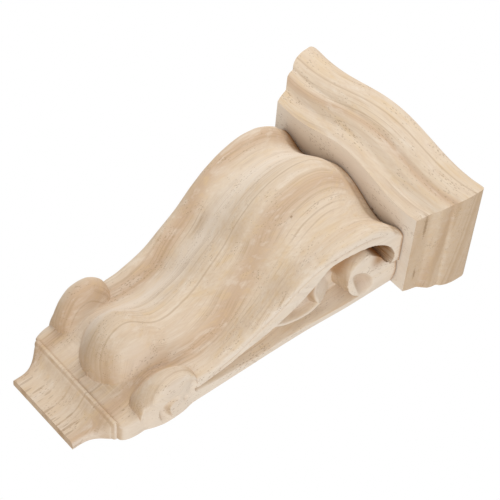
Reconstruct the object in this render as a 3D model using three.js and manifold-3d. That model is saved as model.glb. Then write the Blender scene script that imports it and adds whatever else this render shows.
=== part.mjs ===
// Wood corbel: a carved scroll bracket with a moulded cap glued on top.
// Millimetres, +Z up. The wall is the plane y = 0 and the corbel stands out towards -Y.
import * as THREE from 'three';
import { ParametricGeometry } from 'three/addons/geometries/ParametricGeometry.js';
import { mergeVertices } from 'three/addons/utils/BufferGeometryUtils.js';
import Module from 'manifold-3d';

// Driving dimensions of the scroll
const scrollHeight = 124.7;
const scrollDepth = 44.4;
const scrollHalfWidth = 30.2;
const neckDepth = 11.6;
const topDepth = 26.8;
const edgeRadius = 2.2;
const swellHeight = 6.4;
const coveDepth = 3.2;

// Driving dimensions of the roll and the foot
const bulbDepth = 24.2;
const bulbRise = 15;
const bulbDrop = 12.8;
const lobeDepth = 20.2;
const lobeRadius = 11.8;
const lobeInset = 4;
const lobeWidth = 7;
const lobeRounding = 4.5;
const saddleRise = 2.2;
const footHalfWidth = 15.6;
const footDepth = 3.4;
const footFlare = 4.9;
const beadRadius = 0.95;

// Driving dimensions of the side carving
const recessDepth = 5.5;
const coilInset = 1.4;
const coilHalfDepth = 12.6;
const coilHalfHeight = 9.9;
const leafInset = 2.4;
const bossRise = 0.3;
const bossRadius = 5.8;
const bossGroove = 0.8;
const railWidth = 3.4;

// Driving dimensions of the cap
const capHeight = 23.6;
const capReveal = 3.8;
const capBow = 5.2;
const capFlare = 7.7;
const capTopRadius = 3.2;
const glueSeam = 0.3;

const capHalfWidth = scrollHalfWidth + capReveal;
const capDepth = topDepth + swellHeight * 0.8 + capReveal;
const capBottom = scrollHeight + glueSeam;
const totalHeight = capBottom + capHeight;

const wasm = await Module();
wasm.setup();

const clamp01 = (value) => Math.min(1, Math.max(0, value));

function ease(from, to, value) {
  const t = clamp01((value - from) / (to - from));
  return t * t * (3 - 2 * t);
}

// A smooth line through [station, value] pairs, level where it turns
function tracer(pairs) {
  const last = pairs.length - 1;
  const rise = (i) => (pairs[i + 1][1] - pairs[i][1]) / (pairs[i + 1][0] - pairs[i][0]);
  const slope = pairs.map((pair, i) => {
    if (i === 0) return rise(0);
    if (i === last) return rise(last - 1);
    const before = rise(i - 1);
    const after = rise(i);
    return before * after <= 0 ? 0 : (2 * before * after) / (before + after);
  });
  return (station) => {
    let i = 0;
    while (i < last - 1 && station > pairs[i + 1][0]) i += 1;
    const span = pairs[i + 1][0] - pairs[i][0];
    const t = clamp01((station - pairs[i][0]) / span);
    const a = pairs[i][1] + slope[i] * span * t * (1 - t) * (1 - t);
    const b = pairs[i + 1][1] - slope[i + 1] * span * t * t * (1 - t);
    const mix = t * t * (3 - 2 * t);
    return a * (1 - mix) + b * mix + (a - pairs[i][1]) * mix + (b - pairs[i + 1][1]) * (1 - mix);
  };
}

// Depth of the edge roll's crown up the scroll, as shares of its rise from neck to shoulder
const crownEnd = 0.973;
const capTurnStart = 0.95;
const crownRise = tracer([
  [0.0, 0.0], [0.376, 0.0], [0.425, 0.05], [0.478, 0.14], [0.534, 0.31], [0.594, 0.49], [0.651, 0.715],
  [0.708, 0.88], [0.767, 0.97], [0.827, 1.0], [0.883, 0.965], [0.916, 0.9], [0.947, 0.81], [crownEnd, 0.71], [1.0, 0.0],
]);
const shoulderDepth = scrollDepth - swellHeight;

function crownDepth(z) {
  const share = z / scrollHeight;
  const wave = neckDepth + (shoulderDepth - neckDepth) * crownRise(Math.min(share, crownEnd));
  const turn = clamp01((share - capTurnStart) / (1 - capTurnStart));
  return wave + (topDepth - wave) * turn * turn;
}

// Half width of the scroll along its back edge, as shares of the half width at the rim
const railEndShare = 0.912;
const backShare = tracer([
  [0.177, 0.79], [0.207, 0.835], [0.243, 0.862], [0.285, 0.858], [0.33, 0.832], [0.366, 0.835], [0.504, 0.845],
  [0.693, 0.858], [0.861, 0.894], [1.0, railEndShare],
]);

// The volute's rim stands prouder than the back rail, which curves in to the wall
const proudReach = 0.38 * scrollDepth;
const proudStart = 0.45 * scrollHeight;
const proudFull = 0.85 * scrollHeight;

function sideProud(depth, z) {
  const reach = clamp01(depth / proudReach);
  const rimRise = (1 - railEndShare) * scrollHalfWidth;
  return rimRise * ease(proudStart, proudFull, z) * Math.sqrt(1 - (1 - reach) ** 2);
}

// Foot moulding: how far each level stands out from the end block, on the front and both sides
const beadLevel = 0.104 * scrollHeight;
const apronTop = 0.157 * scrollHeight;
const coveLean = 2.4;

function footOffset(z) {
  const cove = 1 - Math.sqrt(1 - ease(0.02, 1, z / (beadLevel - beadRadius)) ** coveLean * 0.99);
  const bead = Math.sqrt(Math.max(0, beadRadius ** 2 - (z - beadLevel) ** 2));
  return footFlare * cove + bead;
}

const beadTop = beadLevel + beadRadius;
const apronStart = beadLevel + 0.3 * beadRadius;
const apronPower = 0.4;

function halfWidth(depth, z) {
  const foot = footHalfWidth + footOffset(Math.min(z, beadTop));
  if (z <= apronStart) return foot;
  const neck = footHalfWidth + footFlare;
  const shaft = backShare(z / scrollHeight) * scrollHalfWidth + sideProud(depth, z);
  const apron = clamp01((z - apronStart) / (apronTop - beadLevel));
  return Math.max(foot, neck + (shaft - neck) * (1 - (1 - apron) ** 2) ** apronPower);
}

// Depth of the front without its flutes and roll
const shaftStart = 0.3 * scrollHeight;
const footFrontShare = 0.9;

function baseDepth(z) {
  const foot = footDepth + footOffset(Math.min(z, beadTop)) * footFrontShare;
  return z > beadTop ? foot + (crownDepth(z) - foot) * ease(beadTop, shaftStart, z) : foot;
}

// The middle swell ends in a bulb, which slopes up out of it and rounds down to the apron
const rollLevel = 0.243 * scrollHeight;
const swellTopLoss = 0.2;
const wave = (t) => 0.5 + 0.5 * Math.cos(Math.PI * clamp01(t));
const shareAbove = (z) => clamp01((z - rollLevel) / bulbRise);
const shareBelow = (z) => clamp01((rollLevel - z) / bulbDrop);

function swellAt(z) {
  if (shareAbove(z) === 1) return swellHeight * (1 - swellTopLoss * ease(0.85, 1, z / scrollHeight));
  const neck = neckDepth + swellHeight;
  let line = neck + (bulbDepth - neck) * wave(shareAbove(z));
  if (shareBelow(z) > 0) {
    const apron = baseDepth(rollLevel - bulbDrop);
    line = apron + (bulbDepth - apron) * Math.sqrt(1 - shareBelow(z) ** 2);
  }
  return Math.max(0, line - baseDepth(z));
}

// Front of the shaft at a share of the half width: swell or bulb, cove and edge roll
const swellReach = 0.64;
const bulbReach = 0.52;
const edgeRollShare = 0.93;
const swellFullness = 0.85;
const bulbFullness = 0.55;
const bulbFootSoftness = 0.45;
const neckCoveShare = 0.3;

function flute(side, z) {
  const share = z / scrollHeight;
  const coveGrowth = neckCoveShare + (1 - neckCoveShare) * ease(0.28, 0.5, share);
  const cove = coveDepth * coveGrowth * ease(0.2, 0.3, share);
  if (side >= swellReach) return -cove * wave((side - swellReach) / (edgeRollShare - swellReach));
  const bulb = wave(shareAbove(z));
  const reach = (swellReach + (bulbReach - swellReach) * bulb) * Math.sqrt(Math.max(1e-4, 1 - shareBelow(z) ** 2));
  const across = Math.min(1, side / reach);
  const round = (1 - across ** 2) ** (bulbFullness + bulbFootSoftness * across);
  const long = wave(across) ** swellFullness;
  return (swellAt(z) + cove) * (long + (round - long) * bulb) - cove;
}

// A lobe at each end of the roll, and the low saddle between the lobes
const lobeDropShare = 0.85;
const lobeFullness = 0.56;
const lobeFootSoftness = 0.6;

function lobes(x, wide, z) {
  const reach = z > rollLevel ? lobeRadius : lobeRadius * lobeDropShare;
  const along = Math.min(1, Math.abs(z - rollLevel) / reach);
  const inner = clamp01((wide - lobeInset - Math.abs(x)) / lobeWidth);
  const room = Math.max(0, 1 - along ** 2 - inner ** 2);
  const lobe = (lobeDepth - neckDepth) * room ** (lobeFullness + lobeFootSoftness * inner);
  return Math.hypot(lobe, saddleRise * wave(along));
}

// The front's edges are rounded over, most of all at the lobes
const roundingReach = 9;

function edgeRounding(z) {
  const atLobe = Math.exp(-(((z - rollLevel) / roundingReach) ** 2));
  const fullest = edgeRadius + (lobeRounding - edgeRadius) * atLobe;
  return Math.min(fullest, 0.5 * footDepth + 0.4 * Math.max(0, z - beadTop));
}

function frontDepth(x, z) {
  const wide = halfWidth(scrollDepth, z);
  let depth = baseDepth(z);
  if (z > beadTop) {
    const swell = flute(Math.min(1, Math.abs(x) / wide), z);
    const ends = lobes(x, wide, z);
    depth += swell > 0 ? Math.hypot(swell, ends) : swell + ends;
  }
  const rounding = edgeRounding(z);
  const over = Math.max(0, Math.abs(x) - (wide - rounding));
  return depth - rounding + Math.sqrt(Math.max(0, rounding ** 2 - over ** 2));
}

// Turns a three.js geometry into a closed solid, and a solid back into a geometry
function toSolid(geometry) {
  const bare = geometry.clone();
  bare.deleteAttribute('normal');
  bare.deleteAttribute('uv');
  const merged = mergeVertices(bare, 1e-5);
  const index = merged.getIndex().array;
  const kept = [];
  for (let i = 0; i < index.length; i += 3) {
    const [a, b, c] = [index[i], index[i + 1], index[i + 2]];
    if (a !== b && b !== c && c !== a) kept.push(a, b, c);
  }
  const vertProperties = Float32Array.from(merged.getAttribute('position').array);
  return new wasm.Manifold(new wasm.Mesh({ numProp: 3, vertProperties, triVerts: Uint32Array.from(kept) }));
}

function toGeometry(solid) {
  const mesh = solid.getMesh();
  const geometry = new THREE.BufferGeometry();
  geometry.setAttribute('position', new THREE.BufferAttribute(mesh.vertProperties, 3));
  geometry.setIndex(new THREE.BufferAttribute(mesh.triVerts, 1));
  geometry.computeVertexNormals();
  return geometry;
}

const spread = (from, to, count) => Array.from({ length: count }, (_, i) => from + ((to - from) * i) / count);

// A closed solid from level rings, with its two ends closed by a point in the middle
function ringSolid(levels, ringPoint, columns, endPoint) {
  const rows = levels.length + 1;
  const skin = (u, v, target) => {
    const row = Math.round(v * rows);
    if (row === 0) return endPoint(levels[0], target);
    if (row === rows) return endPoint(levels[levels.length - 1], target);
    return ringPoint(Math.round(u * columns) % columns, levels[row - 1], target);
  };
  return toSolid(new ParametricGeometry(skin, columns, rows));
}

// The carved scroll without its side recesses
const frontColumns = 32;
const sideColumns = 5;
const backColumns = 2;

function scrollBlank() {
  const beadStart = beadLevel - beadRadius;
  const bulbFoot = rollLevel - bulbDrop;
  const underBulb = spread(0, Math.PI / 2, 10).map((angle) => rollLevel - bulbDrop * Math.cos(angle));
  const rollTop = 0.366 * scrollHeight;
  const shoulder = 0.901 * scrollHeight;
  const levels = [
    ...spread(0, beadStart, 6),
    ...spread(beadStart, beadTop, 4),
    ...spread(beadTop, bulbFoot, 3),
    ...underBulb,
    ...spread(rollLevel, rollTop, 10),
    ...spread(rollTop, shoulder, 17),
    ...spread(shoulder, scrollHeight, 7),
    scrollHeight,
  ];
  const columns = frontColumns + 2 * sideColumns + backColumns;
  const sidePoint = (sign, t, z, target) => {
    const edge = frontDepth(halfWidth(scrollDepth, z), z);
    const depth = edge * t;
    return target.set(sign * halfWidth(depth, z), -depth, z);
  };
  const ringPoint = (column, z, target) => {
    let i = column;
    if (i <= frontColumns) {
      const t = (2 * i) / frontColumns - 1;
      const wide = halfWidth(frontDepth(halfWidth(scrollDepth, z), z), z);
      const x = wide * t * (1.35 - 0.35 * t * t);
      return target.set(x, -frontDepth(x, z), z);
    }
    i -= frontColumns;
    if (i <= sideColumns) return sidePoint(1, 1 - i / sideColumns, z, target);
    i -= sideColumns;
    if (i < backColumns) return target.set(halfWidth(0, z) * (1 - (2 * i) / backColumns), 0, z);
    i -= backColumns;
    return sidePoint(-1, i / sideColumns, z, target);
  };
  const endPoint = (z, target) => target.set(0, -0.4 * frontDepth(0, z), z);
  return ringSolid(levels, ringPoint, columns, endPoint);
}

// Side carving is drawn on the side face as shares of depth and height
function sideSpot(depthShare, heightShare) {
  return new THREE.Vector2(depthShare * scrollDepth, heightShare * scrollHeight);
}

// Pushes a flat outline through the side of the scroll, from a level inwards
function sideExtrude(shape, fromX, thickness) {
  const geometry = new THREE.ExtrudeGeometry(shape, { depth: thickness, bevelEnabled: false, curveSegments: 8 });
  // Outline x is depth out from the wall and outline y is height
  const turn = new THREE.Matrix4().makeBasis(
    new THREE.Vector3(0, -1, 0), new THREE.Vector3(0, 0, 1), new THREE.Vector3(-1, 0, 0),
  );
  geometry.applyMatrix4(turn);
  geometry.translate(fromX, 0, 0);
  return toSolid(geometry);
}

const railFace = 0.87 * scrollHalfWidth;
const recessFloor = railFace - recessDepth;

const rimInner = [
  sideSpot(0.15, 0.331), sideSpot(0.18, 0.42), sideSpot(0.232, 0.49), sideSpot(0.31, 0.57), sideSpot(0.44, 0.65),
  sideSpot(0.6, 0.718), sideSpot(0.7, 0.762), sideSpot(0.725, 0.827), sideSpot(0.685, 0.883), sideSpot(0.597, 0.935),
  sideSpot(0.45, 0.972), sideSpot(0.3, 0.97),
];

function recessShape() {
  const shape = new THREE.Shape();
  const start = sideSpot(0.108, 0.338);
  shape.moveTo(start.x, start.y);
  shape.lineTo(rimInner[0].x, rimInner[0].y);
  shape.splineThru(rimInner.slice(1));
  shape.lineTo(railWidth, 0.901 * scrollHeight);
  shape.lineTo(railWidth, 0.722 * scrollHeight);
  shape.lineTo(railWidth * 0.75, 0.524 * scrollHeight);
  shape.closePath();
  return shape;
}

function leafShape() {
  const shape = new THREE.Shape();
  const tip = sideSpot(0.27, 0.579);
  shape.moveTo(tip.x, tip.y);
  shape.splineThru([sideSpot(0.46, 0.648), sideSpot(0.64, 0.722)]);
  const facetOut = sideSpot(0.62, 0.747);
  const facetIn = sideSpot(0.19, 0.767);
  shape.lineTo(facetOut.x, facetOut.y);
  shape.lineTo(facetIn.x, facetIn.y);
  shape.splineThru([sideSpot(0.155, 0.722), sideSpot(0.18, 0.653), tip]);
  return shape;
}

// A turned button with a ring groove and a dimple, standing out of the side face
const grooveDepth = 1.1;
const dimpleDepth = 0.9;

function turnedButton(halfDepth, halfHeight, base, rise, centre) {
  const outline = [
    [0, -base], [1, -base], [1, 0], [0.93, rise * 0.55], [0.78, rise], [0.6, rise * 0.9],
    [0.52, rise - grooveDepth], [0.42, rise - grooveDepth / 2], [0.25, rise],
    [0.12, rise - dimpleDepth * 0.6], [0, rise - dimpleDepth],
  ];
  const profile = outline.map(([radius, level]) => new THREE.Vector2(radius, level));
  const geometry = new THREE.LatheGeometry(profile, 28);
  geometry.rotateZ(-Math.PI / 2);
  geometry.scale(1, halfDepth, halfHeight);
  geometry.translate(centre.z, -centre.x, centre.y);
  return toSolid(geometry);
}

function mirrored(solid) {
  return solid.mirror([1, 0, 0]);
}

const coilRise = 0.6;
const carvingReach = 1.2 * scrollHalfWidth;

function scrollBody() {
  let carving = sideExtrude(recessShape(), carvingReach, carvingReach - recessFloor);
  const leafTop = railFace - leafInset;
  carving = carving.subtract(sideExtrude(leafShape(), leafTop, leafTop - recessFloor + 1));
  const coilFace = scrollHalfWidth - coilInset - coilRise;
  const coilSpot = sideSpot(0.31, 0.895);
  const coilCentre = { x: coilSpot.x, y: coilSpot.y, z: coilFace };
  const coil = turnedButton(coilHalfDepth, coilHalfHeight, coilFace - recessFloor + 1, coilRise, coilCentre);
  carving = carving.subtract(coil);
  const bossCentre = { x: 0.8 * lobeRadius, y: rollLevel, z: halfWidth(scrollDepth, rollLevel) };
  const boss = turnedButton(bossRadius, bossRadius, 2 * bossGroove, bossRise, bossCentre);
  const ring = new THREE.Shape().absarc(bossCentre.x, bossCentre.y, bossRadius + bossGroove, 0, 2 * Math.PI);
  const well = sideExtrude(ring, carvingReach, carvingReach - bossCentre.z + bossGroove);
  const sunk = carving.add(well);
  const blank = scrollBlank();
  return blank.subtract(sunk).subtract(mirrored(sunk)).add(boss).add(mirrored(boss));
}

// Cap: how far the moulding stands out, in shares of the flare and of the height up to the top's rounding
const capProfile = tracer([
  [0, 0], [0.11, 0.1], [0.24, 0.19], [0.31, 0.36], [0.38, 0.53], [0.45, 0.6], [0.53, 0.64], [0.58, 0.77],
  [0.7, 0.91], [0.85, 0.98], [1, 1],
]);

function capOffset(z) {
  const turn = capHeight - capTopRadius;
  const level = z - capBottom;
  if (level <= turn) return capFlare * capProfile(level / turn);
  return capFlare - capTopRadius + Math.sqrt(Math.max(0, capTopRadius ** 2 - (level - turn) ** 2));
}

const bowShare = 0.8;
const cornerFlick = 0.6;

function capFront(side) {
  const bow = capBow * wave(Math.abs(side) / bowShare);
  return capDepth + bow + cornerFlick * ease(0.85, 1, Math.abs(side));
}

function cap() {
  const turnLevel = totalHeight - capTopRadius;
  const rounding = spread(0, Math.PI / 2, 5).map((angle) => turnLevel + capTopRadius * Math.sin(angle));
  const levels = [...spread(capBottom, turnLevel, 16), ...rounding, totalHeight];
  const frontSteps = 26;
  const sideSteps = 2;
  const backSteps = 2;
  const ringPoint = (column, z, target) => {
    const offset = capOffset(z);
    const wide = capHalfWidth + offset;
    let i = column;
    if (i <= frontSteps) {
      const side = (2 * i) / frontSteps - 1;
      return target.set(wide * side, -(capFront(side) + offset), z);
    }
    i -= frontSteps;
    const corner = capFront(1) + offset;
    if (i <= sideSteps) return target.set(wide, -corner * (1 - i / sideSteps), z);
    i -= sideSteps;
    if (i < backSteps) return target.set(wide * (1 - (2 * i) / backSteps), 0, z);
    i -= backSteps;
    return target.set(-wide, -corner * (i / sideSteps), z);
  };
  const endPoint = (z, target) => target.set(0, -capDepth / 2, z);
  return ringSolid(levels, ringPoint, frontSteps + 2 * sideSteps + backSteps, endPoint);
}

function woodPiece(name, solid, color) {
  const material = new THREE.MeshStandardMaterial({ color, roughness: 0.78, metalness: 0 });
  const piece = new THREE.Mesh(toGeometry(solid), material);
  piece.name = name;
  piece.position.z = -totalHeight / 2;
  return piece;
}

const corbel = new THREE.Group();
corbel.add(woodPiece('scroll_body', scrollBody(), 0xdcc3a1));
corbel.add(woodPiece('cap', cap(), 0xd8bd9b));

export default corbel;
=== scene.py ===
"""Raw wood corbel: a carved scroll with a moulded cap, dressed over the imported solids.

Sizes are in millimetres, as in the part's source, with heights counted up from the foot.
They become metres in the shared frame when a mesh is placed.
"""

import logging
import math
from collections.abc import Sequence
from dataclasses import dataclass
from enum import Enum
from typing import ClassVar

import bpy
import numpy as np
from mathutils import Matrix, Vector

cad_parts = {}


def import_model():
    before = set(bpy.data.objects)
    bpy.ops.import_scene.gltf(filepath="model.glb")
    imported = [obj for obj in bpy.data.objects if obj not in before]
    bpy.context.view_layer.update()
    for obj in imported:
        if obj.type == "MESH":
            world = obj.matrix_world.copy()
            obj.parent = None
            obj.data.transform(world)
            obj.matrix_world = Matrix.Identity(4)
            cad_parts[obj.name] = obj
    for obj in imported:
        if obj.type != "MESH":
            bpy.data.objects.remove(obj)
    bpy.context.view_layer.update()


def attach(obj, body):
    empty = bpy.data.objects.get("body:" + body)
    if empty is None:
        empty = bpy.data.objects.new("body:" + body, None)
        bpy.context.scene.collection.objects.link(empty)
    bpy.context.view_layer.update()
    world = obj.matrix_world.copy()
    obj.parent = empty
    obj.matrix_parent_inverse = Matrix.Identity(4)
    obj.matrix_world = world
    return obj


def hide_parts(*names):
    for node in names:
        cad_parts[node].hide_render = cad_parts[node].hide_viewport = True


MM = 0.001
# The frame's origin is half way up the part
TOTAL_HEIGHT = 148.6
MERGE_DISTANCE = 1e-6
log = logging.getLogger("corbel")

Points = Sequence[tuple[float, float]]
Place = tuple[float, float, float]
Colour = tuple[float, float, float, float]
Fleck = tuple[Place, Place]
Streaks = tuple[tuple[float, float], ...]
Array = np.ndarray
Piece = bpy.types.Object
Socket = bpy.types.NodeSocket


class Grain(Enum):
    """Which way the wood's fibres run in a block."""

    UP = "up"
    ACROSS = "across"


# Plain shape helpers


def ease(start: float, end: float, value: Array) -> Array:
    """Rise smoothly from 0 at start to 1 at end.

    Args:
        start: The value where the rise begins.
        end: The value where it is complete.
        value: The values to look up.

    Returns:
        The share of the rise at each value.
    """
    t = np.clip((value - start) / (end - start), 0.0, 1.0)
    return t * t * (3 - 2 * t)


def wave(share: Array) -> Array:
    """Return half a cosine, from 1 at share 0 down to 0 at share 1."""
    return 0.5 + 0.5 * np.cos(np.pi * np.clip(share, 0.0, 1.0))


class Trace:
    """A smooth line through stations and values, level where it turns."""

    def __init__(self, pairs: Points) -> None:
        """Find the slope of the line at each station.

        Args:
            pairs: The stations with their values, in rising order.
        """
        self.stations, self.values = (np.array(side, float) for side in zip(*pairs))
        rise = np.diff(self.values) / np.diff(self.stations)
        before, after = rise[:-1], rise[1:]
        level = before * after <= 0
        inner = np.where(level, 0.0, 2 * before * after / np.where(level, 1.0, before + after))
        self.slopes = np.concatenate([rise[:1], inner, rise[-1:]])

    def __call__(self, station: Array) -> Array:
        """Look the line up.

        Args:
            station: The stations to look up.

        Returns:
            The line's value at each of them.
        """
        last = len(self.stations) - 2
        i = np.clip(np.searchsorted(self.stations, station) - 1, 0, last)
        span = self.stations[i + 1] - self.stations[i]
        t = np.clip((station - self.stations[i]) / span, 0.0, 1.0)
        mix = t * t * (3 - 2 * t)
        line = self.values[i] * (1 - mix) + self.values[i + 1] * mix
        lift = self.slopes[i] * t * (1 - t) ** 2 - self.slopes[i + 1] * t * t * (1 - t)
        return line + lift * span


def curved(points: Points, closed: bool, steps: int = 8) -> Array:
    """Draw a smooth curve through points.

    Args:
        points: The points that the curve passes through.
        closed: Whether the curve returns to its first point.
        steps: How many short lines each stretch is drawn with.

    Returns:
        The curve's points, one row each.
    """
    p = np.array(points, float)
    if closed:
        ring = np.vstack([p[-1:], p, p[:2]])
    else:
        ring = np.vstack([2 * p[0] - p[1], p, 2 * p[-1] - p[-2]])
    t = (np.arange(steps) / steps)[:, None]
    drawn = []
    for a, b, c, d in zip(ring[:-3], ring[1:-2], ring[2:-1], ring[3:]):
        drawn.append(b + 0.5 * t * (c - a + t * (2 * a - 5 * b + 4 * c - d + t * (3 * (b - c) + d - a))))
    if not closed:
        drawn.append(p[-1:])
    return np.vstack(drawn)


def gap_to(line: Array, u: Array, v: Array, closed: bool) -> Array:
    """Measure how far points lie from a line, positive inside a closed one.

    Args:
        line: The line's points, one row each.
        u: First coordinate of the points.
        v: Second coordinate of the points.
        closed: Whether the line is an outline with an inside.

    Returns:
        The distance of each point.
    """
    ends = np.roll(line, -1, axis=0) if closed else line[1:]
    starts = line if closed else line[:-1]
    best = np.full(u.shape, np.inf)
    inside = np.zeros(u.shape, bool)
    for (ax, ay), (bx, by) in zip(starts, ends):
        dx, dy = bx - ax, by - ay
        length = dx * dx + dy * dy
        if length < 1e-12:
            continue
        t = np.clip(((u - ax) * dx + (v - ay) * dy) / length, 0.0, 1.0)
        best = np.minimum(best, (u - ax - t * dx) ** 2 + (v - ay - t * dy) ** 2)
        if closed and dy != 0:
            inside ^= ((ay > v) != (by > v)) & (u < ax + (v - ay) * dx / dy)
    gap = np.sqrt(best)
    return np.where(inside, gap, -gap) if closed else gap


# Mesh helpers


def deselect() -> None:
    """Leave nothing selected before the next operator."""
    bpy.ops.object.select_all(action="DESELECT")


def wrapped_sheet(name: str, places: Array) -> Piece:
    """Wrap a grid primitive into a closed skin and merge its seam and poles.

    Args:
        name: The piece's name.
        places: Metres, by row, column and axis. The last column repeats the first one,
            and the first and last rows are single points.

    Returns:
        The closed piece.
    """
    rows, columns = places.shape[0] - 1, places.shape[1] - 1
    deselect()
    bpy.ops.mesh.primitive_grid_add(x_subdivisions=columns, y_subdivisions=rows, size=2)
    piece = bpy.context.active_object
    piece.name = name
    piece.data.name = name
    flat = np.empty(len(piece.data.vertices) * 3)
    piece.data.vertices.foreach_get("co", flat)
    flat = flat.reshape(-1, 3)
    column = np.rint((flat[:, 0] + 1) / 2 * columns).astype(int)
    row = np.rint((flat[:, 1] + 1) / 2 * rows).astype(int)
    piece.data.vertices.foreach_set("co", places[row, column].reshape(-1))
    piece.data.update()
    bpy.ops.object.mode_set(mode="EDIT")
    bpy.ops.mesh.select_all(action="SELECT")
    bpy.ops.mesh.remove_doubles(threshold=MERGE_DISTANCE)
    bpy.ops.mesh.normals_make_consistent(inside=False)
    bpy.ops.object.mode_set(mode="OBJECT")
    return piece


def thin_out(piece: Piece, share: float) -> None:
    """Keep a share of a skin's faces, most of them where it is curved.

    Args:
        piece: The piece to thin out.
        share: The share of faces that stays.
    """
    modifier = piece.modifiers.new("thin_out", "DECIMATE")
    modifier.ratio = share
    bpy.ops.object.modifier_apply(modifier=modifier.name)


def mark_faces(piece: Piece, grain: Grain) -> None:
    """Mark which corners of a skin cut the fibres and which face down or outward, where light is painted
    on.

    Args:
        piece: The piece to mark.
        grain: Which way its fibres run.
    """
    mesh = piece.data
    normals = np.empty(len(mesh.loops) * 3)
    mesh.corner_normals.foreach_get("vector", normals)
    across, _, up = normals.reshape(-1, 3).T
    corners = np.empty(len(mesh.loops), int)
    mesh.loops.foreach_get("vertex_index", corners)
    spots = np.empty(len(mesh.vertices) * 3)
    mesh.vertices.foreach_get("co", spots)
    outward = across * np.sign(spots.reshape(-1, 3)[corners, 0])
    crosswise = grain is Grain.ACROSS
    marks = {
        "end_grain": ease(0.45, 0.98, np.abs(across if crosswise else up)),
        # Painted light: the cap's downward faces and the scroll's outward faces get a paler colour
        "pale_and_painted_light": ease(0.93, 0.99, -up) if crosswise else ease(0.5, 0.95, outward),
    }
    for name, shares in marks.items():
        mesh.attributes.new(name, "FLOAT", "CORNER").data.foreach_set("value", shares)


def place_rows(x: Array, depth: Array, z: Array) -> Array:
    """Turn millimetres into metres on the frame's axes, with heights still from the foot."""
    return np.stack([x * MM, -depth * MM, z * MM], axis=-1)


def closed_rows(front: Array, side: Array, depth: Array, z: Array, poles: Points) -> Array:
    """Join a front and its two mirrored sides into closed rows, with a point at each end.

    Args:
        front: The front's places, as place_rows gives them.
        side: How far the sides are from the middle plane, from the front to the wall.
        depth: Their distance from the wall.
        z: The height of each row.
        poles: Depth and height of the points that close the bottom and the top.

    Returns:
        Metres in the shared frame, by row, column and axis.
    """
    heights = np.broadcast_to(z, depth.shape)
    right = place_rows(side, depth, heights)
    left = place_rows(-side, depth, heights)[:, ::-1]
    middle = place_rows(np.zeros_like(z), np.zeros_like(z), z)
    ring = np.concatenate([front, right, middle, left, front[:, :1]], axis=1)
    bottom, top = (np.broadcast_to((0.0, -out * MM, up * MM), ring[:1].shape) for out, up in poles)
    rows = np.concatenate([bottom, ring, top], axis=0)
    return rows - np.array([0.0, 0.0, TOTAL_HEIGHT / 2 * MM])


# Finish


class Nodes:
    """Adds nodes to a material or to the surround and joins them."""

    def __init__(self, owner: bpy.types.Material | bpy.types.World) -> None:
        """Start with an empty node tree.

        Args:
            owner: The material or surround to fill.
        """
        owner.use_nodes = True
        self.tree = owner.node_tree
        self.tree.nodes.clear()

    def add(self, kind: str, links: dict[str | int, object] | None = None,
            **settings: object) -> bpy.types.Node:
        """Add a node.

        Args:
            kind: The node's type, without its ShaderNode prefix.
            links: Input names or numbers with a socket to join or a value to set.
            settings: Properties of the node.

        Returns:
            The new node.
        """
        node = self.tree.nodes.new("ShaderNode" + kind)
        for key, value in settings.items():
            setattr(node, key, value)
        for key, value in (links or {}).items():
            if isinstance(value, Socket):
                self.tree.links.new(value, node.inputs[key])
            else:
                node.inputs[key].default_value = value
        return node

    def math(self, operation: str, a: Socket | float, b: Socket | float = 0.0) -> Socket:
        """Return the result of a math node on two sockets or numbers."""
        return self.add("Math", {0: a, 1: b}, operation=operation).outputs[0]

    def stretched(self, source: Socket, scale: Place) -> Socket:
        """Return coordinates scaled on each axis."""
        return self.add("Mapping", {"Vector": source, "Scale": scale}).outputs[0]

    def axis(self, source: Socket, index: int) -> Socket:
        """Return one coordinate of a place."""
        return self.add("SeparateXYZ", {"Vector": source}).outputs[index]

    def marked(self, name: str) -> Socket:
        """Return a share that is stored on the mesh."""
        return self.add("Attribute", attribute_name=name).outputs["Fac"]

    def noise(self, source: Socket, detail: float, roughness: float = 0.5) -> Socket:
        """Return cloudy noise with cells about one unit wide."""
        links = {"Vector": source, "Scale": 1.0, "Detail": detail, "Roughness": roughness}
        return self.add("TexNoise", links).outputs[0]

    def noise_along(self, distance: Socket, cell: float, detail: float, roughness: float = 0.5) -> Socket:
        """Return noise that changes along one distance only.

        Args:
            distance: The distance.
            cell: The length of a cell.
            detail: How many finer layers of noise are added.
            roughness: How strong those are.

        Returns:
            The noise, from 0 to 1.
        """
        cells = self.math("DIVIDE", distance, cell)
        links = {"W": cells, "Scale": 1.0, "Detail": detail, "Roughness": roughness}
        return self.add("TexNoise", links, noise_dimensions="1D").outputs[0]

    def step(self, value: Socket, low: float, high: float) -> Socket:
        """Return 0 below low, 1 above high and a smooth rise between them."""
        links = {"Value": value, "From Min": low, "From Max": high}
        return self.add("MapRange", links, interpolation_type="SMOOTHSTEP").outputs[0]

    def tint(self, under: Socket | Colour, over: Colour, share: Socket,
             strength: Socket | float = 1.0) -> Socket:
        """Lay one colour over another.

        Args:
            under: The lower colour.
            over: The upper colour.
            share: Where the upper colour lies, from 0 to 1.
            strength: How much it covers where the share is 1.

        Returns:
            The blended colour.
        """
        cover = self.math("MULTIPLY", share, strength)
        return self.add("Mix", {"Factor": cover, 6: under, 7: over}, data_type="RGBA").outputs[2]


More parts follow.
